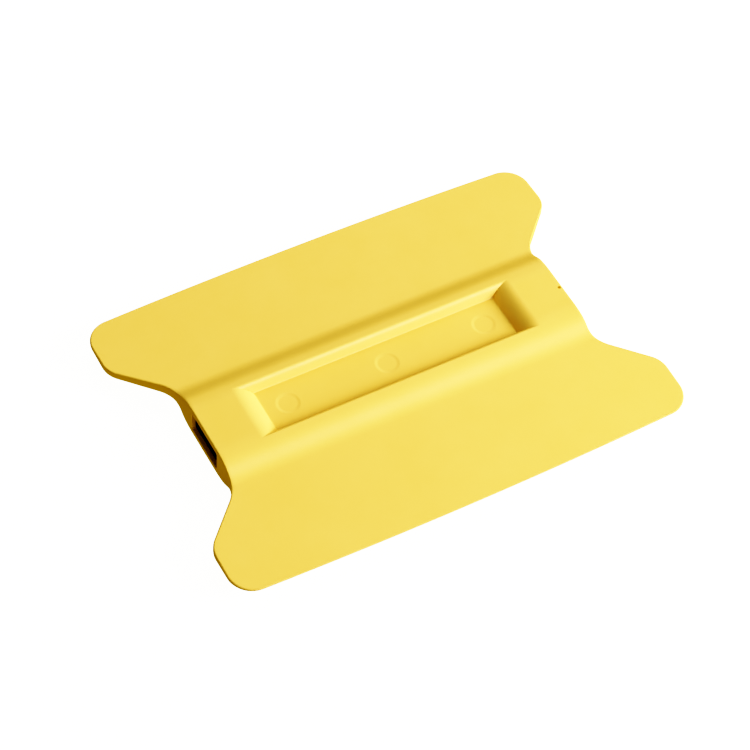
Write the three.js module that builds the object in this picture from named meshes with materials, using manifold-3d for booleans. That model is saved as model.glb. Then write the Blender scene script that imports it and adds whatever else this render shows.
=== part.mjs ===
// A two-edged hand squeegee for laying vinyl film, in millimetres, +Z up.
// One plastic moulding has a thick grip along its middle and a thin tapering wing on each side,
// which is the blade. The wings bend in use, so the moulding is cut into a grip and two blades
// that hinge at their roots. A block magnet sits in a pocket in each end of the grip and parks
// the tool on a steel panel. The grip runs along X and the blades face -Y (front) and +Y (back).
// The origin is under the middle of the grip, on the surface that the tool lies on.
import * as THREE from "three";
import { mergeVertices } from "three/addons/utils/BufferGeometryUtils.js";
import Module from "manifold-3d";

const wasm = await Module();
wasm.setup();

// Whole tool
const LENGTH = 150; // X, over the wing tips
const WIDTH = 106.6; // Y, over the two blade edges at mid-length
const THICKNESS = 11.2; // Z, through the grip
const EDGE_RADIUS = 1850; // each blade edge bows out on this radius

// Plan outline
const GRIP_LENGTH = 120.5; // X, over the two end faces of the grip
const TIP_CORNER_RADIUS = 7.8; // between a blade edge and a wing tip
const FLANK_TOP = 34.3; // Y, where a wing tip turns into the 45 degree flank
const FLANK_RADIUS = 7.7; // at that turn
const NOTCH_RADIUS = 11.2; // where the flank meets the grip's end face

// Cross-section, as half-widths in Y and half-heights from the mid-plane
const LAND_HALF = 7; // flat land along the top of the grip
const CREST_HALF = 11.4; // outer end of the shallow crown beside the land
const CREST_DROP = 0.4; // fall from the land to the crest
const SHOULDER_HALF = 19.4; // where the shoulder runs out into the wing
const WING_ROOT = 1.95; // half the wing's thickness at its root
const WING_EDGE = 0.3; // half its thickness at the blade edge
const SHOULDER_EASE = 0.42; // part of the shoulder's run over which each end holds its slope

// Cut that lets each blade hinge at its root
const FLEX_LINE = 20.3; // Y of the hinge line
const FLEX_GAP = 0.6; // width of the cut

// Finger recess, one in each side of the grip
const RECESS_FLOOR_HALF = [40.4, 7.5]; // half-length and half-width of the flat floor
const RECESS_MOUTH_HALF = [46.9, 10.1]; // the same at the mouth, where the walls have rolled level
const RECESS_WEB = 4.6; // plastic left between the two floors

// Marks that the mould leaves in the upper side
const EJECTOR_DIAMETER = 7;
const EJECTOR_SPACING = 33; // X, three marks along the floor
const EJECTOR_DEPTH = 0.12;
const GATE_DIAMETER = 1.2;
const GATE_DEPTH = 0.3;
const GATE_INSET = 0.9; // X, from the end face to the gate's centre

// Magnets and their pockets
const MAGNET = [9, 15.4, 6.6]; // X, Y, Z
const MAGNET_GAP = 0.3; // all round, and behind the magnet
const MAGNET_INSET = 1.2; // X, from the end face in to the magnet
const MAGNET_CHAMFER = 0.4;
const POCKET_RADIUS = 0.6;

const MID = THICKNESS / 2; // Z of the mid-plane
const HALF_GRIP = GRIP_LENGTH / 2;
const ARC_STEPS = 6; // straight steps along a rounded corner
const SECTION_STEPS = 10; // along each curve of the cross-section
const RECESS_STEPS = 8; // along a recess wall
const ROUND_SIDES = 32; // round a cylinder
const SAME_POINT = 1e-4; // corners nearer than this are one
const CUT_MARGIN = 2; // how far a cutter runs past what it cuts

// Bases that stand an extrusion up: along X from a Y-Z outline, along Y from an X-Z outline
const axis = (x, y, z) => new THREE.Vector3(x, y, z);
const ALONG_X = new THREE.Matrix4().makeBasis(axis(0, 1, 0), axis(0, 0, 1), axis(1, 0, 0));
const ALONG_Y = new THREE.Matrix4().makeBasis(axis(1, 0, 0), axis(0, 0, 1), axis(0, -1, 0));
const ALONG_Z = new THREE.Matrix4();

const plastic = new THREE.MeshStandardMaterial({ color: 0xf2d95c, roughness: 0.55, metalness: 0 });
const ferrite = new THREE.MeshStandardMaterial({ color: 0x2b2a2c, roughness: 0.6, metalness: 0.2 });

// A closed three.js geometry as a solid that can be cut.
function solidOf(geometry) {
  const bare = geometry.clone();
  bare.deleteAttribute("normal");
  bare.deleteAttribute("uv");
  const merged = mergeVertices(bare, SAME_POINT);
  return new wasm.Manifold(
    new wasm.Mesh({
      numProp: 3,
      vertProperties: new Float32Array(merged.attributes.position.array),
      triVerts: new Uint32Array(merged.index.array),
    }),
  );
}

// A solid as a named mesh.
function meshOf(name, solid, material) {
  const { vertProperties, triVerts } = solid.getMesh();
  const geometry = new THREE.BufferGeometry()
    .setAttribute("position", new THREE.BufferAttribute(new Float32Array(vertProperties), 3))
    .setIndex(new THREE.BufferAttribute(new Uint32Array(triVerts), 1));
  geometry.computeVertexNormals();
  const mesh = new THREE.Mesh(geometry, material);
  mesh.name = name;
  return mesh;
}

// An outline extruded to a depth, centred on the origin along its own axis.
function centredExtrusion(shape, depth, basis) {
  const geometry = new THREE.ExtrudeGeometry(shape, { depth, bevelEnabled: false, curveSegments: ARC_STEPS });
  return geometry.translate(0, 0, -depth / 2).applyMatrix4(basis);
}

// A polygon whose corners are each rounded to the radius that goes with them.
function roundedPolygon(corners) {
  const shape = new THREE.Shape();
  corners.forEach(([x, y, radius], i) => {
    const corner = new THREE.Vector2(x, y);
    const [before, after] = [corners.at(i - 1), corners[(i + 1) % corners.length]].map(([px, py]) =>
      new THREE.Vector2(px, py).sub(corner).normalize(),
    );
    const halfAngle = Math.acos(before.dot(after)) / 2;
    const start = before.clone().multiplyScalar(radius / Math.tan(halfAngle)).add(corner);
    const end = after.clone().multiplyScalar(radius / Math.tan(halfAngle)).add(corner);
    const toCentre = before.clone().add(after).normalize();
    const centre = toCentre.multiplyScalar(radius / Math.sin(halfAngle)).add(corner);
    const angleTo = (point) => Math.atan2(point.y - centre.y, point.x - centre.x);
    const turnsRight = before.cross(after) > 0;
    if (i === 0) shape.moveTo(start.x, start.y);
    else shape.lineTo(start.x, start.y);
    shape.absarc(centre.x, centre.y, radius, angleTo(start), angleTo(end), turnsRight);
  });
  shape.closePath();
  return shape;
}

// The plan outline: two bowed blade edges, four rounded wing tips and the notches between them.
function planOutline() {
  const bowAngle = Math.asin((LENGTH / 2 - TIP_CORNER_RADIUS) / EDGE_RADIUS);
  const apex = WIDTH / 2 + EDGE_RADIUS * (1 / Math.cos(bowAngle) - 1);
  const tip = apex - (LENGTH / 2) * Math.tan(bowAngle);
  const notch = FLANK_TOP - (LENGTH - GRIP_LENGTH) / 2;
  const quarter = [
    [HALF_GRIP, notch, NOTCH_RADIUS],
    [LENGTH / 2, FLANK_TOP, FLANK_RADIUS],
    [LENGTH / 2, tip, TIP_CORNER_RADIUS],
  ];
  const mirrored = (signX, signY) => quarter.map(([x, y, r]) => [x * signX, y * signY, r]);
  return roundedPolygon([
    ...mirrored(1, 1),
    [0, apex, EDGE_RADIUS],
    ...mirrored(-1, 1).reverse(),
    ...mirrored(-1, -1),
    [0, -apex, EDGE_RADIUS],
    ...mirrored(1, -1).reverse(),
  ]);
}

// The cross-section: flat land, crown, shoulder and tapering wing, the same above and below.
function crossSection() {
  const reach = WIDTH / 2 + CUT_MARGIN;
  const taper = (WING_ROOT - WING_EDGE) / (WIDTH / 2 - SHOULDER_HALF);
  const crest = MID - CREST_DROP;
  const crestSlope = (2 * CREST_DROP) / (CREST_HALF - LAND_HALF);
  const handle = SHOULDER_EASE * (SHOULDER_HALF - CREST_HALF);
  const quarter = new THREE.Path();
  quarter.moveTo(0, MID);
  quarter.lineTo(LAND_HALF, MID);
  quarter.quadraticCurveTo((LAND_HALF + CREST_HALF) / 2, MID, CREST_HALF, crest);
  quarter.bezierCurveTo(
    CREST_HALF + handle,
    crest - crestSlope * handle,
    SHOULDER_HALF - handle,
    WING_ROOT + taper * handle,
    SHOULDER_HALF,
    WING_ROOT,
  );
  quarter.lineTo(reach, WING_ROOT - taper * (reach - SHOULDER_HALF));
  const right = quarter.getPoints(SECTION_STEPS).slice(1);
  const mirrored = (signY, signZ) => right.map((p) => new THREE.Vector2(p.x * signY, p.y * signZ));
  return new THREE.Shape([
    ...mirrored(1, -1),
    ...mirrored(1, 1).reverse(),
    ...mirrored(-1, 1),
    ...mirrored(-1, -1).reverse(),
  ]);
}

// The finger recess in profile, its walls rolling over into the grip's face: seen along the grip
// (which = 1) or across it (which = 0).
function recessProfile(which) {
  const floor = RECESS_WEB / 2;
  const floorHalf = RECESS_FLOOR_HALF[which];
  const mouthHalf = RECESS_MOUTH_HALF[which];
  const side = new THREE.Path();
  side.moveTo(floorHalf, floor);
  side.quadraticCurveTo((floorHalf + mouthHalf) / 2, MID, mouthHalf, MID);
  side.lineTo(mouthHalf, MID + CUT_MARGIN);
  const right = side.getPoints(RECESS_STEPS);
  const left = right.map((p) => new THREE.Vector2(-p.x, p.y)).reverse();
  return new THREE.Shape([...right, ...left]);
}

// The finger recess of the upper side: two prisms that cross, so its corners are mitred.
function recessCutter() {
  const lengthwise = centredExtrusion(recessProfile(1), LENGTH, ALONG_X);
  const crosswise = centredExtrusion(recessProfile(0), WIDTH, ALONG_Y);
  return [lengthwise, crosswise];
}

// A short round cutter standing on Z.
function roundCutter(diameter, x, bottom, height) {
  const cylinder = new THREE.CylinderGeometry(diameter / 2, diameter / 2, height, ROUND_SIDES);
  return cylinder.rotateX(Math.PI / 2).translate(x, 0, bottom + height / 2);
}

// A rectangle with rounded corners, for the mouth of a magnet pocket.
function pocketMouth() {
  const halfY = MAGNET[1] / 2 + MAGNET_GAP;
  const halfZ = MAGNET[2] / 2 + MAGNET_GAP;
  return roundedPolygon([
    [halfY, -halfZ, POCKET_RADIUS],
    [halfY, halfZ, POCKET_RADIUS],
    [-halfY, halfZ, POCKET_RADIUS],
    [-halfY, -halfZ, POCKET_RADIUS],
  ]);
}

// The moulding, with its mid-plane at Z = 0.
function moulding() {
  const blank = solidOf(centredExtrusion(crossSection(), LENGTH + CUT_MARGIN, ALONG_X));
  const outline = solidOf(centredExtrusion(planOutline(), THICKNESS + CUT_MARGIN, ALONG_Z));
  let solid = blank.intersect(outline);

  for (const turn of [0, Math.PI]) {
    const [lengthwise, crosswise] = recessCutter().map((geometry) => solidOf(geometry.rotateX(turn)));
    solid = solid.subtract(lengthwise.intersect(crosswise));
  }

  const floor = RECESS_WEB / 2 - EJECTOR_DEPTH;
  for (const place of [-1, 0, 1]) {
    solid = solid.subtract(solidOf(roundCutter(EJECTOR_DIAMETER, place * EJECTOR_SPACING, floor, CUT_MARGIN)));
  }
  const gateX = HALF_GRIP - GATE_INSET;
  solid = solid.subtract(solidOf(roundCutter(GATE_DIAMETER, gateX, MID - GATE_DEPTH, CUT_MARGIN)));

  const pocketDepth = MAGNET_INSET + MAGNET[0] + MAGNET_GAP;
  const cutDepth = pocketDepth + CUT_MARGIN;
  for (const side of [-1, 1]) {
    const cutter = centredExtrusion(pocketMouth(), cutDepth, ALONG_X);
    cutter.translate(side * (HALF_GRIP - pocketDepth + cutDepth / 2), 0, 0);
    solid = solid.subtract(solidOf(cutter));
  }
  return solid;
}

// The part of a solid that lies between two values of Y.
function between(solid, lowY, highY) {
  const slab = new THREE.BoxGeometry(2 * LENGTH, highY - lowY, 2 * THICKNESS);
  return solid.intersect(solidOf(slab.translate(0, (lowY + highY) / 2, 0)));
}

// One block magnet with chamfered edges, centred on the origin.
function magnetBlock() {
  const [x, y, z] = MAGNET.map((size) => size / 2 - MAGNET_CHAMFER);
  const face = new THREE.Shape([axis(-x, -y), axis(x, -y), axis(x, y), axis(-x, y)]);
  const block = new THREE.ExtrudeGeometry(face, {
    depth: 2 * z,
    bevelThickness: MAGNET_CHAMFER,
    bevelSize: MAGNET_CHAMFER,
    bevelSegments: 1,
  });
  return block.translate(0, 0, -z);
}

const squeegee = new THREE.Group();
const whole = moulding();
const cutFrom = FLEX_LINE - FLEX_GAP / 2;
const cutTo = FLEX_LINE + FLEX_GAP / 2;

for (const [name, lowY, highY] of [
  ["grip", -cutFrom, cutFrom],
  ["front_blade", -WIDTH, -cutTo],
  ["back_blade", cutTo, WIDTH],
]) {
  const piece = meshOf(name, between(whole, lowY, highY), plastic.clone());
  piece.position.z = MID;
  squeegee.add(piece);
}

for (const [name, side] of [["left_magnet", -1], ["right_magnet", 1]]) {
  const magnet = meshOf(name, solidOf(magnetBlock()), ferrite.clone());
  magnet.position.set(side * (HALF_GRIP - MAGNET_INSET - MAGNET[0] / 2), 0, MID);
  squeegee.add(magnet);
}

export default squeegee;
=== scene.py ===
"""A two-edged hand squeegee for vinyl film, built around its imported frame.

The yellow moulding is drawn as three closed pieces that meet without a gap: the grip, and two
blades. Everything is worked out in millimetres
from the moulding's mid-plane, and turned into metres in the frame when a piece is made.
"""

import math

import bmesh
import bpy
import numpy as np
from mathutils import Matrix, Vector


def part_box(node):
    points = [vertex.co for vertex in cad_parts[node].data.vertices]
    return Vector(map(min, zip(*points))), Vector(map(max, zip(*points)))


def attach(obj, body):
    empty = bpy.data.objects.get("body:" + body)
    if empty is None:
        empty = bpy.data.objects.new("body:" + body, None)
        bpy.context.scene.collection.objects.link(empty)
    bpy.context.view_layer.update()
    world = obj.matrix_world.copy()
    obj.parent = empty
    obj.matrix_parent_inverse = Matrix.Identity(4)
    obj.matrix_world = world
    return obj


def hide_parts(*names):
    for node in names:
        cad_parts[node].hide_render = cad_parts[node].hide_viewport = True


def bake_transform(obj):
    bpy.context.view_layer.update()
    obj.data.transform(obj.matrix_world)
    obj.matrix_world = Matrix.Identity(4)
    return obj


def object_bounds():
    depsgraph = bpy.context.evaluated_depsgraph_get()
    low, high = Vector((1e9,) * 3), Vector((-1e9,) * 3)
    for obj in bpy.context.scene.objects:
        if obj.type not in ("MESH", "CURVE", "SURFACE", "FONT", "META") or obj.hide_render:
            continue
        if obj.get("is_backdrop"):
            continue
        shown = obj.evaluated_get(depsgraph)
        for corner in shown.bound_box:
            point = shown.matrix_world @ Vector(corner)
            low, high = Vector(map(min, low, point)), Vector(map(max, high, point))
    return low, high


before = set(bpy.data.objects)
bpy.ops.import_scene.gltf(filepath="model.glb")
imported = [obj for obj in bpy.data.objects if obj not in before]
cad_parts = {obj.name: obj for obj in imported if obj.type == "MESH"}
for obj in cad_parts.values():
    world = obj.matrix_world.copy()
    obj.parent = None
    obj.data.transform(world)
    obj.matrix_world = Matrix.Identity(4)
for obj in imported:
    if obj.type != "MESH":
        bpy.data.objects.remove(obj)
cad_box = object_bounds()

MM = 0.001
CAD_LOW, CAD_HIGH = np.array(cad_box) / MM

# Whole tool, from the frame
LENGTH, WIDTH, THICKNESS = CAD_HIGH - CAD_LOW
MID = (CAD_LOW[2] + CAD_HIGH[2]) / 2
EDGE_RADIUS = 1850.0  # each blade edge bows out on this radius

# Plan outline
HALF_GRIP = 60.25  # X of the grip's end faces
TIP_CORNER_RADIUS = 7.8
FLANK_TOP = 34.3  # Y, where a wing tip turns into the 45 degree flank
FLANK_RADIUS = 7.7
NOTCH_RADIUS = 11.2

# Cross-section: half-widths in Y and half-heights from the mid-plane
HALF_HEIGHT = THICKNESS / 2
LAND_HALF = 7.0
CREST_HALF = 11.4
CREST_DROP = 0.4
SHOULDER_HALF = 19.4
WING_ROOT = 1.95
WING_EDGE = 0.3
SHOULDER_EASE = 0.42  # part of the shoulder's run over which each end holds its slope
SEAM = 20.3  # Y, where a blade piece takes over from the grip piece
CROWN_POINTS = 40
SHOULDER_POINTS = 80

# Finger recess
FLOOR_HALF_X, FLOOR_HALF_Y = 40.4, 7.5
FLOOR_HEIGHT = 2.3  # above the mid-plane
END_WALL_RUN = 6.5  # length of the curved end wall, floor to land
LONG_WALL_SLOPE = 1.9  # rise over run of the straight side walls
RIM_BLEND = 1.4  # height over which the rim rolls over
FLOOR_BLEND = 0.25  # the same where a wall meets the floor
RECESS_BOTTOM = -0.4  # wall height, if the walls went on down, at which the floor is level
RECESS_REACH = 5.0  # wall height, if the walls went on up, at which the rim has run out

# Edge rounding
EDGE_ROUND = 0.45
EDGE_SHARE = 0.8  # most of the half-thickness that a round takes up
EDGE_STEPS = 5

# Points along the stretches of a wing's outline
NOTCH_POINTS = 7
FLANK_POINTS = 16
BEND_POINTS = 9
TIP_POINTS = 7
CORNER_POINTS = 25
EDGE_POINTS = 46

# Spacing of the grip's points, in millimetres
LONG_STEP = 1.2  # along the recess
SHORT_STEP = 0.6  # across the recess
CORNER_STEP = 0.25  # at the corners of the recess
STEP_GROWTH = 1.35  # from each step to the next, away from a corner
WALL_STEP = 0.1  # up the walls of the recess
SHOULDER_STEP = 0.35
ROOT_STEP = 0.5  # from the shoulder to the seam
LAND_STEPS = 14  # from the recess to an end of the grip

# Ejector marks
EJECTOR_RADIUS = 3.9
EJECTOR_SPACING = 33.0
EJECTOR_DEPTH = 0.11
EJECTOR_RAMP = 1.2  # width of the soft slope round the mark
EJECTOR_STEPS = 6  # down that slope
CIRCLE_STEPS = 64

# Magnet pockets
POCKET_DEPTH = 10.5
POCKET_GAP = 0.3
POCKET_CORNER = 0.6
POCKET_LIP = 0.3  # radius of the rounded mouth
POCKET_LIP_STEPS = 3
END_FACE_MARGIN = 2.0  # Y, how far inside the start of the notches the end face is split

# Mark left by the mould's gate, beside the right end face, drawn as a dark spot of painted shade for the
# shadow of the gate's small nub
GATE_PLACE = (59.2, 0.0)
GATE_RADIUS = 0.32

SAME_POINT = 0.001  # points nearer than this are one
SHARP_ANGLE = math.radians(50)  # edges that bend more than this stay crisp
NORMAL_WEIGHT = 60


def smooth_min(a, b, width):
    """The lower of two heights, rounded where they are within width of each other."""
    near = np.maximum(width - np.abs(a - b), 0.0) / width
    return np.minimum(a, b) - near**2 * width / 4


def smooth_max(a, b, width):
    """The higher of two heights, rounded in the same way."""
    return -smooth_min(-a, -b, width)


def bezier(points, count):
    """Points along a Bezier curve of any degree."""
    points = np.array(points, float)
    degree = len(points) - 1
    t = np.linspace(0, 1, count)[:, None]
    weights = [math.comb(degree, i) * t**i * (1 - t) ** (degree - i) for i in range(degree + 1)]
    return sum(w * p for w, p in zip(weights, points))


def section_curve():
    """The upper right quarter of the cross-section, as Y and height from the mid-plane."""
    crest = HALF_HEIGHT - CREST_DROP
    crest_slope = 2 * CREST_DROP / (CREST_HALF - LAND_HALF)
    taper = (WING_ROOT - WING_EDGE) / (WIDTH / 2 - SHOULDER_HALF)
    handle = SHOULDER_EASE * (SHOULDER_HALF - CREST_HALF)
    crown = bezier(
        [
            (LAND_HALF, HALF_HEIGHT),
            ((LAND_HALF + CREST_HALF) / 2, HALF_HEIGHT),
            (CREST_HALF, crest),
        ],
        CROWN_POINTS,
    )
    shoulder = bezier(
        [
            (CREST_HALF, crest),
            (CREST_HALF + handle, crest - crest_slope * handle),
            (SHOULDER_HALF - handle, WING_ROOT + taper * handle),
            (SHOULDER_HALF, WING_ROOT),
        ],
        SHOULDER_POINTS,
    )
    edge = [(WIDTH / 2, WING_EDGE)]
    return np.vstack([[(0, HALF_HEIGHT)], crown, shoulder[1:], edge])


SECTION = section_curve()


def half_height(y):
    """Half the moulding's thickness at Y, leaving the recess out."""
    return np.interp(np.abs(y), SECTION[:, 0], SECTION[:, 1])


# The end wall is a parabola, up to where its rim blend starts, and then a straight line
RECESS_DEPTH = HALF_HEIGHT - FLOOR_HEIGHT
TANGENT_START = 1 - math.sqrt(RIM_BLEND / RECESS_DEPTH)
TANGENT_RISE = 2 * math.sqrt(RIM_BLEND * RECESS_DEPTH)


def end_wall_height(run):
    """Height of an end wall above the floor, at a distance from the floor's end."""
    t = run / END_WALL_RUN
    parabola = RECESS_DEPTH * (1 - (1 - t) ** 2)
    tangent = RECESS_DEPTH - RIM_BLEND + TANGENT_RISE * (t - TANGENT_START)
    return np.where(t < TANGENT_START, parabola, tangent)


def end_wall_run(height):
    """Distance from the floor at which an end wall reaches a height."""
    if height < RECESS_DEPTH - RIM_BLEND:
        return END_WALL_RUN * (1 - math.sqrt(1 - height / RECESS_DEPTH))
    return END_WALL_RUN * (TANGENT_START + (height - RECESS_DEPTH + RIM_BLEND) / TANGENT_RISE)


def surface_height(x, y):
    """Height of the moulding's upper face above the mid-plane, with the finger recess in it."""
    end_wall = end_wall_height(np.abs(x) - FLOOR_HALF_X)
    wall = np.maximum(end_wall, (np.abs(y) - FLOOR_HALF_Y) * LONG_WALL_SLOPE)
    wall = smooth_max(wall, np.zeros_like(wall), FLOOR_BLEND) + FLOOR_HEIGHT
    return smooth_min(wall, half_height(y), RIM_BLEND)


# ---------------------------------------------------------------- plan outline


def arc(centre, radius, start, end, count):
    """Points and outward normals along an arc, with its angles in degrees.

    A hollow arc has a negative radius.
    """
    angles = np.radians(np.linspace(start, end, count))
    spokes = np.stack([np.cos(angles), np.sin(angles)], axis=1)
    return np.array(centre) + abs(radius) * spokes, spokes * math.copysign(1, radius)


def straight(start, end, normal, count):
    """Points along a straight stretch, without its ends, and its outward normal at each."""
    t = np.linspace(0, 1, count + 2)[1:-1, None]
    points = (1 - t) * np.array(start) + t * np.array(end)
    return points, np.tile(normal, (len(points), 1))


def notch_reach(y):
    """X of the grip's end at Y, out to the seam, where the notch has begun to flare."""
    run = np.maximum(np.abs(y) - NOTCH_START, 0.0)
    return HALF_GRIP + NOTCH_RADIUS - np.sqrt(NOTCH_RADIUS**2 - run**2)


NOTCH_VERTEX = FLANK_TOP - (LENGTH / 2 - HALF_GRIP)
NOTCH_START = NOTCH_VERTEX - NOTCH_RADIUS * math.tan(math.radians(22.5))
SEAM_TILT = math.degrees(math.asin((SEAM - NOTCH_START) / NOTCH_RADIUS))


def tip_centre():
    """Centre of the round between the right wing tip and the back blade edge."""
    edge_centre_y = WIDTH / 2 - EDGE_RADIUS
    x = LENGTH / 2 - TIP_CORNER_RADIUS
    y = edge_centre_y + math.sqrt((EDGE_RADIUS - TIP_CORNER_RADIUS) ** 2 - x**2)
    return np.array([x, y])


def wing_outline():
    """Right half of the back wing's outline, from the seam to mid-edge.

    Gives its points, its inward vectors and the index of the point halfway round the tip's corner.
    """
    flank_centre = (
        LENGTH / 2 - FLANK_RADIUS,
        FLANK_TOP + FLANK_RADIUS * math.tan(math.radians(22.5)),
    )
    notch_centre = (HALF_GRIP + NOTCH_RADIUS, NOTCH_START)
    tip = tip_centre()
    edge_centre = np.array([0, WIDTH / 2 - EDGE_RADIUS])
    lean = math.degrees(math.atan2(*(tip - edge_centre)))

    notch = arc(notch_centre, -NOTCH_RADIUS, 180 - SEAM_TILT, 135, NOTCH_POINTS)
    flank_bend = arc(flank_centre, FLANK_RADIUS, -45, 0, BEND_POINTS)
    corner = arc(tip, TIP_CORNER_RADIUS, 0, 90 - lean, CORNER_POINTS)
    edge = arc(edge_centre, EDGE_RADIUS, 90 - lean, 90, EDGE_POINTS)
    pieces = [
        notch,
        straight(notch[0][-1], flank_bend[0][0], flank_bend[1][0], FLANK_POINTS),
        flank_bend,
        straight(flank_bend[0][-1], corner[0][0], (1, 0), TIP_POINTS),
        corner,
        (edge[0][1:], edge[1][1:]),
    ]
    points = np.vstack([p for p, _ in pieces])
    inward = -np.vstack([n for _, n in pieces])
    # At the seam the rim is drawn in along the seam, to the same depth square to the outline
    inward[0] = (-1 / math.cos(math.radians(SEAM_TILT)), 0)
    before_corner = sum(len(p) for p, _ in pieces[:4])
    return points, inward, before_corner + CORNER_POINTS // 2


# ---------------------------------------------------------------- mesh building


class Shell:
    """Collects grids of points in millimetres and joins them into one closed mesh."""

    def __init__(self):
        self.mesh = bmesh.new()

    def row(self, points):
        return [self.mesh.verts.new(p) for p in points]

    def grid(self, rows, flip=False):
        """Quads between rows of points. Flipped, they face the other way."""
        made = [self.row(r) for r in rows]
        for low, high in zip(made, made[1:]):
            for a, b, c, d in zip(low, low[1:], high[1:], high):
                self.mesh.faces.new((d, c, b, a) if flip else (a, b, c, d))

    def flat(self, loops, facing):
        """A flat face with holes in it: the first loop is its outline."""
        edges = []
        for loop in loops:
            made = self.row(loop)
            edges += [self.mesh.edges.new((a, b)) for a, b in zip(made, made[1:] + made[:1])]
        filled = bmesh.ops.triangle_fill(self.mesh, use_beauty=True, edges=edges, normal=facing)
        faces = [g for g in filled["geom"] if isinstance(g, bmesh.types.BMFace)]
        facing = Vector(facing)
        for face in faces:
            face.normal_update()
            if face.normal.dot(facing) < 0:
                face.normal_flip()

    def finish(self, name):
        """The mesh as an object in metres, in the frame."""
        bmesh.ops.remove_doubles(self.mesh, verts=self.mesh.verts, dist=SAME_POINT)
        self.mesh.transform(Matrix.Translation((0, 0, MID * MM)) @ Matrix.Scale(MM, 4))
        data = bpy.data.meshes.new(name)
        self.mesh.to_mesh(data)
        self.mesh.free()
        data.shade_smooth()
        data.set_sharp_from_angle(angle=SHARP_ANGLE)
        piece = bpy.data.objects.new(name, data)
        bpy.context.scene.collection.objects.link(piece)
        weighted = piece.modifiers.new("weighted normals", "WEIGHTED_NORMAL")
        weighted.mode = "FACE_AREA"
        weighted.weight = NORMAL_WEIGHT
        weighted.keep_sharp = True
        return piece


def stack(x, y, z):
    """Arrays of coordinates as one array of points."""
    return np.stack(np.broadcast_arrays(x, y, z), axis=-1)


def closed(loop):
    """A loop with its first point again at its end."""
    return np.vstack([loop, loop[:1]])


def edge_loops(points, inward, half):
    """Loops that round the upper edge over: from the face out to the top of the side wall."""
    radius = np.minimum(EDGE_ROUND, EDGE_SHARE * half)
    loops = []
    for angle in np.radians(np.linspace(0, 90, EDGE_STEPS + 1)):
        plan = points + inward * (radius * (1 - math.sin(angle)))[:, None]
        loops.append(stack(plan[:, 0], plan[:, 1], half - radius * (1 - math.cos(angle))))
    return loops


def mirrored(points, axis):
    """Points reflected in the plane across an axis."""
    turned = np.array(points, float)
    turned[..., axis] *= -1
    return turned


# ---------------------------------------------------------------- blades


def blade_face_rows(inner, corner):
    """Rows across the blade's upper face, from the seam to the edge, inside its rounded rim."""
    right = inner[: corner + 1, :2]
    left = mirrored(right, 0)
    top_right = inner[corner:, :2]
    top = np.vstack([mirrored(top_right, 0), top_right[-2::-1]])
    across = (top[:, 0] - top[0, 0]) / (top[-1, 0] - top[0, 0])
    rows = []
    for i in range(len(right)):
        v = i / (len(right) - 1)
        bottom_x = left[0, 0] + across * (right[0, 0] - left[0, 0])
        bottom = np.stack([bottom_x, np.full_like(bottom_x, SEAM)], axis=1)
        ends = left[i] + across[:, None] * (right[i] - left[i])
        corners = (1 - v) * bottom + v * (top[0] + across[:, None] * (top[-1] - top[0]))
        rows.append((1 - v) * bottom + v * top + ends - corners)
    return rows


def make_blade(name, side):
    """A blade and its thin edge. side is 1 for the back blade and -1 for the front one."""
    points, inward, corner = wing_outline()
    loops = edge_loops(points, inward, half_height(points[:, 1]))
    loops = [np.vstack([mirrored(loop, 0)[:-1], loop[::-1]]) for loop in loops]
    shell = Shell()
    half = len(points)
    inner = loops[0][half - 1 :][::-1]
    rows = blade_face_rows(inner, corner)
    faces = [stack(r[:, 0], r[:, 1], half_height(r[:, 1])) for r in rows]
    left_rim = [loop[0] for loop in loops[:0:-1]]
    right_rim = [loop[-1] for loop in loops[1:]]
    seam_top = np.vstack([left_rim, faces[0], right_rim])

    def place(rows_of_points, lower):
        placed = [mirrored(r, 2) if lower else np.array(r) for r in rows_of_points]
        return [mirrored(r, 1) if side < 0 else r for r in placed]

    for lower in (False, True):
        flip = lower != (side < 0)
        shell.grid(place(faces, lower), flip=flip)
        shell.grid(place(loops, lower), flip=not flip)
    wall = [loops[-1], mirrored(loops[-1], 2)]
    shell.grid(place(wall, False), flip=side > 0)
    cap = [seam_top, mirrored(seam_top, 2)]
    shell.grid(place(cap, False), flip=side < 0)
    return shell.finish(name)


# ---------------------------------------------------------------- grip


def spaced(start, end, step):
    """Evenly spaced values."""
    return np.linspace(start, end, max(2, round(abs(end - start) / step) + 1))


def side_fractions(half, step):
    """Places along one side of a recess loop, from -1 to 1, closing up at the corners."""
    values = [half]
    gap = CORNER_STEP
    while values[-1] > 1.5 * gap:
        values.append(values[-1] - gap)
        gap = min(gap * STEP_GROWTH, step)
    right = np.array([0.0] + values[::-1]) / half
    return np.concatenate([-right[:0:-1], right])


# The grip's grid. A rectangle holds the recess and its rims, and lines of equal Y go on past it.
REACH_X = FLOOR_HALF_X + end_wall_run(RECESS_REACH)
REACH_Y = FLOOR_HALF_Y + RECESS_REACH / LONG_WALL_SLOPE
ALONG = side_fractions(REACH_X, LONG_STEP)
ACROSS = side_fractions(REACH_Y, SHORT_STEP)
INNER_X = ALONG * REACH_X
SHOULDER_Y = spaced(REACH_Y, SHOULDER_HALF, SHOULDER_STEP)
ROOT_Y = spaced(SHOULDER_HALF, SEAM, ROOT_STEP)
OUTER_Y = np.concatenate([SHOULDER_Y, ROOT_Y[1:]])
Y_LINES = np.concatenate([-OUTER_Y[::-1], ACROSS[1:-1] * REACH_Y, OUTER_Y])


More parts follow.
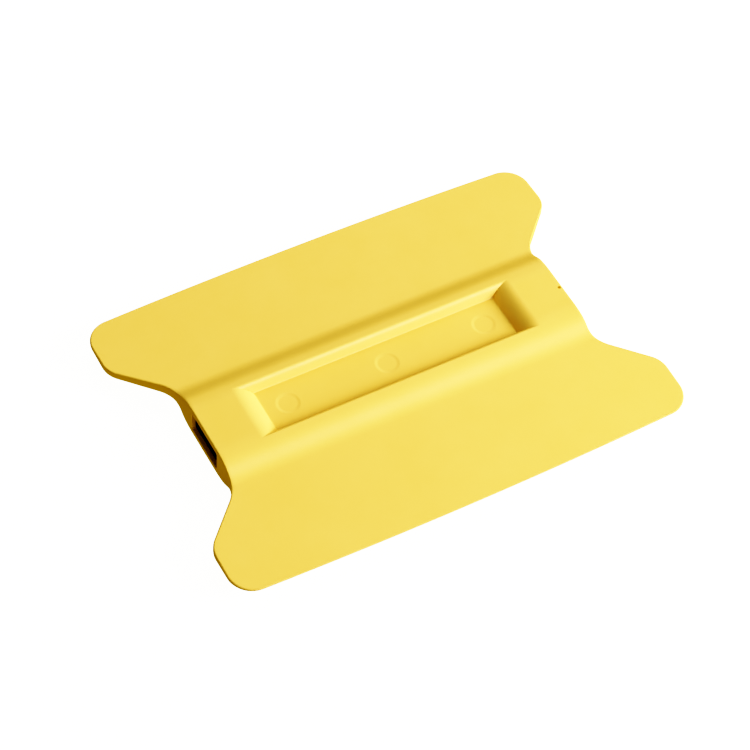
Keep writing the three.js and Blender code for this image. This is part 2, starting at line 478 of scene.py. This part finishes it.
def recess_loop(height):
    """One rectangular loop of the recess, anticlockwise from above.

    The height is the one that its walls would have if they went on straight.
    """
    half_x = FLOOR_HALF_X + end_wall_run(height)
    half_y = FLOOR_HALF_Y + height / LONG_WALL_SLOPE
    x, y = ALONG * half_x, ACROSS * half_y
    front = stack(x[:-1], -half_y, 0.0)
    right = stack(half_x, y[:-1], 0.0)
    back = stack(x[:0:-1], half_y, 0.0)
    left = stack(-half_x, y[:0:-1], 0.0)
    plan = np.vstack([front, right, back, left])
    return stack(plan[:, 0], plan[:, 1], surface_height(plan[:, 0], plan[:, 1]))


def circle(x, radius, z):
    """A level circle about a point on the X axis."""
    angles = np.linspace(0, 2 * math.pi, CIRCLE_STEPS, endpoint=False)
    return stack(x + radius * np.cos(angles), radius * np.sin(angles), z)


def add_ejector_mark(shell, x, floor):
    """The shallow dished disc that an ejector pin leaves."""
    loops = []
    for t in np.linspace(0, 1, EJECTOR_STEPS + 1):
        ease = t**2 * (3 - 2 * t)
        loops.append(circle(x, EJECTOR_RADIUS - EJECTOR_RAMP * t, floor - EJECTOR_DEPTH * ease))
    shell.grid([closed(loop) for loop in loops], flip=True)
    shell.flat([loops[-1]], (0, 0, 1))


def rounded_rectangle(half_y, half_z, corner, steps=5):
    """A loop in the YZ plane with rounded corners, as columns of Y and Z."""
    loop = []
    for start, sign_y, sign_z in ((0, 1, 1), (90, -1, 1), (180, -1, -1), (270, 1, -1)):
        centre = (sign_y * (half_y - corner), sign_z * (half_z - corner))
        loop.append(arc(centre, corner, start, start + 90, steps)[0])
    return np.vstack(loop)


def add_end_face(shell, top_edge, side, pocket_half):
    """The grip's flat end with the mouth of its magnet pocket, and the pocket behind it."""
    x = side * HALF_GRIP
    loops = []
    for angle in np.radians(np.linspace(0, 90, POCKET_LIP_STEPS + 1)):
        grow = POCKET_LIP * (1 - math.sin(angle))
        depth = POCKET_LIP * (1 - math.cos(angle))
        plan = rounded_rectangle(pocket_half[0] + grow, pocket_half[1] + grow, POCKET_CORNER + grow)
        loops.append(stack(x - side * depth, plan[:, 0], plan[:, 1]))
    bottom_edge = mirrored(top_edge, 2)
    outline = np.vstack([top_edge, bottom_edge[::-1]])
    shell.flat([outline, loops[0]], (side, 0, 0))
    deep = np.array(loops[-1])
    deep[:, 0] = x - side * POCKET_DEPTH
    loops.append(deep)
    shell.grid([closed(loop) for loop in loops], flip=side < 0)
    shell.flat([deep], (side, 0, 0))


def end_rows():
    """Rows across the right end of the grip: over the land, then down over the rounded rim."""
    tilt = np.arcsin(np.maximum(np.abs(Y_LINES) - NOTCH_START, 0) / NOTCH_RADIUS)
    points = stack(notch_reach(Y_LINES), Y_LINES, 0.0)[:, :2]
    inward = np.stack([-1 / np.cos(tilt), np.zeros_like(tilt)], axis=1)
    rim = edge_loops(points, inward, half_height(Y_LINES))
    land = []
    for t in np.linspace(0, 1, LAND_STEPS + 1)[:-1]:
        x = (1 - t) * REACH_X + t * rim[0][:, 0]
        land.append(stack(x, Y_LINES, surface_height(x, Y_LINES)))
    return land + rim


def add_grip_face(shell, rows, lower):
    """The grip's upper or lower face: its recess, the strip on each side of that, and both ends."""

    def place(points):
        return mirrored(points, 2) if lower else np.array(points)

    loops = [recess_loop(height) for height in spaced(RECESS_BOTTOM, RECESS_REACH, WALL_STEP)]
    shell.grid([place(closed(loop)) for loop in loops], flip=not lower)
    floor = loops[0]
    floor_z = float(floor[0, 2])
    marks = [] if lower else [-EJECTOR_SPACING, 0.0, EJECTOR_SPACING]
    holes = [circle(x, EJECTOR_RADIUS, floor_z) for x in marks]
    shell.flat([place(floor)] + holes, (0, 0, -1 if lower else 1))
    for x in marks:
        add_ejector_mark(shell, x, floor_z)
    for side in (1, -1):
        flip = (side > 0) != lower
        strip = [stack(INNER_X, side * y, surface_height(INNER_X, side * y)) for y in OUTER_Y]
        shell.grid([place(row) for row in strip], flip=not flip)
        turned = [mirrored(row, 0) if side < 0 else row for row in rows]
        shell.grid([place(row) for row in turned], flip=flip)


def add_grip_end(shell, rows, side, pocket_half):
    """The wall at the right (1) or left (-1) end of the grip, with its pocket."""
    wall_top = mirrored(rows[-1], 0) if side < 0 else rows[-1]
    flat_end = np.abs(Y_LINES) <= NOTCH_START - END_FACE_MARGIN
    first, last = np.flatnonzero(flat_end)[[0, -1]]
    for part in (wall_top[: first + 1], wall_top[last:]):
        shell.grid([part, mirrored(part, 2)], flip=side > 0)
    add_end_face(shell, wall_top[first : last + 1], side, pocket_half)


def add_grip_seam(shell, rows, side):
    """The hidden face that the back (1) or front (-1) blade meets."""
    right = np.array([row[-1] for row in rows[1:]])
    right[:, 1] = side * SEAM
    middle = stack(INNER_X, side * SEAM, half_height(SEAM))
    top = np.vstack([mirrored(right, 0)[::-1], middle, right])
    shell.grid([top, mirrored(top, 2)], flip=side > 0)


def make_grip():
    """The grip, with a finger recess above and below and a magnet pocket in each end."""
    shell = Shell()
    rows = end_rows()
    for lower in (False, True):
        add_grip_face(shell, rows, lower)
    magnet_low, magnet_high = np.array(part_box("right_magnet")) / MM
    pocket_half = (magnet_high - magnet_low)[1:] / 2 + POCKET_GAP
    for side in (1, -1):
        add_grip_end(shell, rows, side, pocket_half)
        add_grip_seam(shell, rows, side)
    return shell.finish("grip_moulding")


# ---------------------------------------------------------------- materials

PLASTIC_DARKER = (0.835, 0.555, 0.15, 1)
PLASTIC_LIGHTER = (0.855, 0.57, 0.16, 1)
# painted shade: the dark spot at the gate stands for the shadow of its small nub, which is not modelled
GATE_SHADE_COLOUR = (0.4, 0.2, 0.02, 1)
PAPER_COLOUR = (0.2, 0.2, 0.2, 1)
PAPER_GLOW = 1.4  # keeps the paper white whatever the lamps do
CARD_COLOUR = (1, 0.9, 0.1, 1)
CARD_GLOW = 0.45


def node_material(name):
    """A new node material, its node tree and its Principled shader."""
    material = bpy.data.materials.new(name)
    material.use_nodes = True
    nodes = material.node_tree.nodes
    return material, material.node_tree, nodes["Principled BSDF"]


def linear(*srgb):
    """A colour from 0-255 sRGB to linear RGBA."""
    scaled = [c / 255 for c in srgb]
    return tuple(c / 12.92 if c <= 0.04045 else ((c + 0.055) / 1.055) ** 2.4 for c in scaled) + (1,)


def noise(tree, coordinates, scale, detail=3.0, roughness=0.5):
    """A noise texture, scale in cycles per metre."""
    node = tree.nodes.new("ShaderNodeTexNoise")
    node.inputs["Scale"].default_value = scale
    node.inputs["Detail"].default_value = detail
    node.inputs["Roughness"].default_value = roughness
    tree.links.new(coordinates, node.inputs["Vector"])
    return node.outputs["Fac"]


def ramp(tree, value, stops):
    """A colour ramp over a value. stops are pairs of place and colour."""
    node = tree.nodes.new("ShaderNodeValToRGB")
    elements = node.color_ramp.elements
    for element, (place, colour) in zip(elements, stops):
        element.position = place
        element.color = colour
    tree.links.new(value, node.inputs["Fac"])
    return node.outputs["Color"]


def map_range(tree, value, low, high):
    """A value from 0-1 spread over another range."""
    node = tree.nodes.new("ShaderNodeMapRange")
    node.inputs["To Min"].default_value = low
    node.inputs["To Max"].default_value = high
    tree.links.new(value, node.inputs["Value"])
    return node.outputs["Result"]


def bump(tree, height, distance, strength, normal=None):
    """A bump of a given depth in metres, on top of another bump if one is given."""
    node = tree.nodes.new("ShaderNodeBump")
    node.inputs["Distance"].default_value = distance
    node.inputs["Strength"].default_value = strength
    tree.links.new(height, node.inputs["Height"])
    if normal is not None:
        tree.links.new(normal, node.inputs["Normal"])
    return node.outputs["Normal"]


def object_coordinates(tree):
    """Places on the object, in metres."""
    return tree.nodes.new("ShaderNodeTexCoord").outputs["Object"]


def spot(tree, place, centre, radius):
    """1 within a radius of a point and fading to 0 at twice the radius, all in metres."""
    distance = tree.nodes.new("ShaderNodeVectorMath")
    distance.operation = "DISTANCE"
    distance.inputs[1].default_value = centre
    tree.links.new(place, distance.inputs[0])
    fade = tree.nodes.new("ShaderNodeMapRange")
    fade.interpolation_type = "SMOOTHSTEP"
    fade.inputs["From Min"].default_value = radius
    fade.inputs["From Max"].default_value = 2 * radius
    fade.inputs["To Min"].default_value = 1
    fade.inputs["To Max"].default_value = 0
    tree.links.new(distance.outputs["Value"], fade.inputs["Value"])
    return fade.outputs["Result"]


def tinted(tree, colour, tint, amount):
    """A colour turned towards a tint by an amount that varies over the surface."""
    node = tree.nodes.new("ShaderNodeMix")
    node.data_type = "RGBA"
    factor, first, second = (node.inputs[i] for i in (0, 6, 7))
    second.default_value = tint
    tree.links.new(amount, factor)
    tree.links.new(colour, first)
    return node.outputs[2]


def yellow_plastic():
    """Semi-flexible yellow plastic with a fine moulded grain, and one dark spot of painted shade at the
    gate for the shadow of its small nub.
    """
    material, tree, shader = node_material("yellow_plastic")
    place = object_coordinates(tree)
    gate_height = MID + HALF_HEIGHT
    # painted shade at the gate: a dark spot where the gate's nub would cast a small shadow
    gate_shade = spot(tree, place, Vector((*GATE_PLACE, gate_height)) * MM, GATE_RADIUS * MM)
    mottle = noise(tree, place, scale=60, detail=4, roughness=0.6)
    colour = ramp(tree, mottle, [(0.3, PLASTIC_DARKER), (0.7, PLASTIC_LIGHTER)])
    colour = tinted(tree, colour, GATE_SHADE_COLOUR, gate_shade)
    tree.links.new(colour, shader.inputs["Base Color"])
    sheen = map_range(tree, noise(tree, place, scale=400, detail=3), low=0.42, high=0.56)
    tree.links.new(sheen, shader.inputs["Roughness"])
    grain = noise(tree, place, scale=2500, detail=3, roughness=0.6)
    waves = noise(tree, place, scale=90, detail=2)
    normal = bump(tree, grain, distance=0.00002, strength=0.5)
    normal = bump(tree, waves, distance=0.0002, strength=0.15, normal=normal)
    tree.links.new(normal, shader.inputs["Normal"])
    shader.inputs["Specular IOR Level"].default_value = 0.5
    return material


def ferrite():
    """Sintered ferrite, ground flat."""
    material, tree, shader = node_material("ferrite")
    place = object_coordinates(tree)
    speckle = noise(tree, place, scale=1800, detail=4, roughness=0.7)
    colour = ramp(tree, speckle, [(0.35, linear(36, 35, 38)), (0.7, linear(58, 57, 60))])
    tree.links.new(colour, shader.inputs["Base Color"])
    tree.links.new(map_range(tree, speckle, low=0.45, high=0.75), shader.inputs["Roughness"])
    tree.links.new(bump(tree, speckle, distance=0.00005, strength=0.6), shader.inputs["Normal"])
    return material


def floor_material():
    """Matt white studio paper."""
    material, _, shader = node_material("studio_paper")
    shader.inputs["Base Color"].default_value = PAPER_COLOUR
    shader.inputs["Roughness"].default_value = 0.9
    shader.inputs["Emission Color"].default_value = (1, 1, 1, 1)
    shader.inputs["Emission Strength"].default_value = PAPER_GLOW
    return material


def card_material():
    """A card that throws warm light up at the sides."""
    material, _, shader = node_material("warm_card")
    shader.inputs["Base Color"].default_value = (0, 0, 0, 1)
    shader.inputs["Specular IOR Level"].default_value = 0
    shader.inputs["Emission Color"].default_value = CARD_COLOUR
    shader.inputs["Emission Strength"].default_value = CARD_GLOW
    return material


# ---------------------------------------------------------------- object


def make_object():
    """The moulding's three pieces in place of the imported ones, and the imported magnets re-coloured."""
    plastic = yellow_plastic()
    grip = make_grip()
    grip.data.materials.append(plastic)
    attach(grip, "grip")
    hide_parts("grip")

    for side, name in ((-1, "front_blade"), (1, "back_blade")):
        blade = make_blade(f"{name}_moulding", side)
        blade.data.materials.append(plastic)
        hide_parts(name)
        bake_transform(blade)

    magnet_material = ferrite()
    for name in ("left_magnet", "right_magnet"):
        magnet = bpy.data.objects[name]
        magnet.data.materials.clear()
        magnet.data.materials.append(magnet_material)


# ---------------------------------------------------------------- studio

# Where the camera stands: turned left of the front, well above, and rolled a little
VIEW_AZIMUTH = math.radians(-32.96)
VIEW_ELEVATION = math.radians(52.93)
VIEW_ROLL = math.radians(5.38)
VIEW_DISTANCE = 726.8  # millimetres
AIM_RIGHT, AIM_UP = -3.495, -2.186  # the aim point, across and up the picture from the grip's middle
LENS = 117.88
SENSOR = 36.0

# The room, in metres
FLOOR_SIZE = 6
FLOOR_DROP = 0.0002  # below the tool
CARD_SIZE = 2
CARD_DROP = 0.0001
LAMP_DISTANCE = 1.3
WORLD_STRENGTH = 0.22


def add_camera():
    """The camera. back, right and up are its own axes."""
    back = Vector(
        (
            math.sin(VIEW_AZIMUTH) * math.cos(VIEW_ELEVATION),
            -math.cos(VIEW_AZIMUTH) * math.cos(VIEW_ELEVATION),
            math.sin(VIEW_ELEVATION),
        )
    )
    level = Vector((math.cos(VIEW_AZIMUTH), math.sin(VIEW_AZIMUTH), 0))
    rise = back.cross(level)
    right = level * math.cos(VIEW_ROLL) + rise * math.sin(VIEW_ROLL)
    up = rise * math.cos(VIEW_ROLL) - level * math.sin(VIEW_ROLL)
    centre = Vector((0, 0, MID))
    place = (centre + AIM_RIGHT * right + AIM_UP * up + VIEW_DISTANCE * back) * MM
    data = bpy.data.cameras.new("camera")
    data.lens = LENS
    data.sensor_width = SENSOR
    camera = bpy.data.objects.new("camera", data)
    camera.matrix_world = Matrix.Translation(place) @ Matrix((right, up, back)).transposed().to_4x4()
    bpy.context.scene.collection.objects.link(camera)
    bpy.context.scene.camera = camera


def add_light(name, direction, size, power):
    """A square soft light that faces the tool from a direction."""
    data = bpy.data.lights.new(name, "AREA")
    data.size = size
    data.energy = power
    light = bpy.data.objects.new(name, data)
    toward = Vector(direction).normalized()
    facing = toward.to_track_quat("Z", "Y").to_matrix().to_4x4()
    light.matrix_world = Matrix.Translation(toward * LAMP_DISTANCE) @ facing
    bpy.context.scene.collection.objects.link(light)
    return light


def add_plane(name, size, drop, material):
    """A level square below the tool."""
    bpy.ops.mesh.primitive_plane_add(size=size, location=(0, 0, cad_box[0][2] - drop))
    plane = bpy.context.object
    plane.name = name
    plane.data.materials.append(material)
    plane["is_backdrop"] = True
    return plane


def add_studio():
    """White paper, a warm card that only lights the tool, four soft lamps and a dim even sky."""
    floor = add_plane("studio_floor", FLOOR_SIZE, FLOOR_DROP, floor_material())
    floor.visible_diffuse = False
    floor.visible_glossy = False
    card = add_plane("bounce_card", CARD_SIZE, CARD_DROP, card_material())
    card.visible_camera = False
    card.visible_shadow = False

    key = add_light("key", (0.8, -0.48, 0.41), size=0.5, power=32)
    overhead = add_light("overhead", (0.35, 0.55, 0.76), size=0.9, power=8.5)
    for light in (key, overhead):
        light.visible_glossy = False
    add_light("front fill", (-0.3, -0.9, 0.2), size=0.5, power=2.2)
    shine = add_light("shine", (0.33, -0.8, 0.5), size=0.5, power=16)
    shine.visible_diffuse = False

    world = bpy.data.worlds.new("studio")
    world.use_nodes = True
    background = world.node_tree.nodes["Background"]
    background.inputs["Color"].default_value = (1, 1, 1, 1)
    background.inputs["Strength"].default_value = WORLD_STRENGTH
    bpy.context.scene.world = world


# The look of a studio print: shadows deepen and highlights roll off. Scene light in, light shown.
TONE_CURVE = [
    (0.05, 0.0),
    (0.12, 0.025),
    (0.22, 0.13),
    (0.33, 0.295),
    (0.68, 0.672),
    (0.98, 0.87),
    (1.4, 0.98),
]
TONE_WHITE = 1.6


def set_tone():
    """Plain colours with the print's contrast, as one curve for all three channels."""
    view = bpy.context.scene.view_settings
    view.view_transform = "Standard"
    view.use_curve_mapping = True
    mapping = view.curve_mapping
    mapping.white_level = (TONE_WHITE,) * 3
    curve = mapping.curves[3]
    for light, shown in TONE_CURVE:
        curve.points.new(light / TONE_WHITE, shown)
    mapping.update()


make_object()
add_camera()
add_studio()
set_tone()

str([[[float(v) for v in corner] for corner in box] for box in (cad_box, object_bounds())])
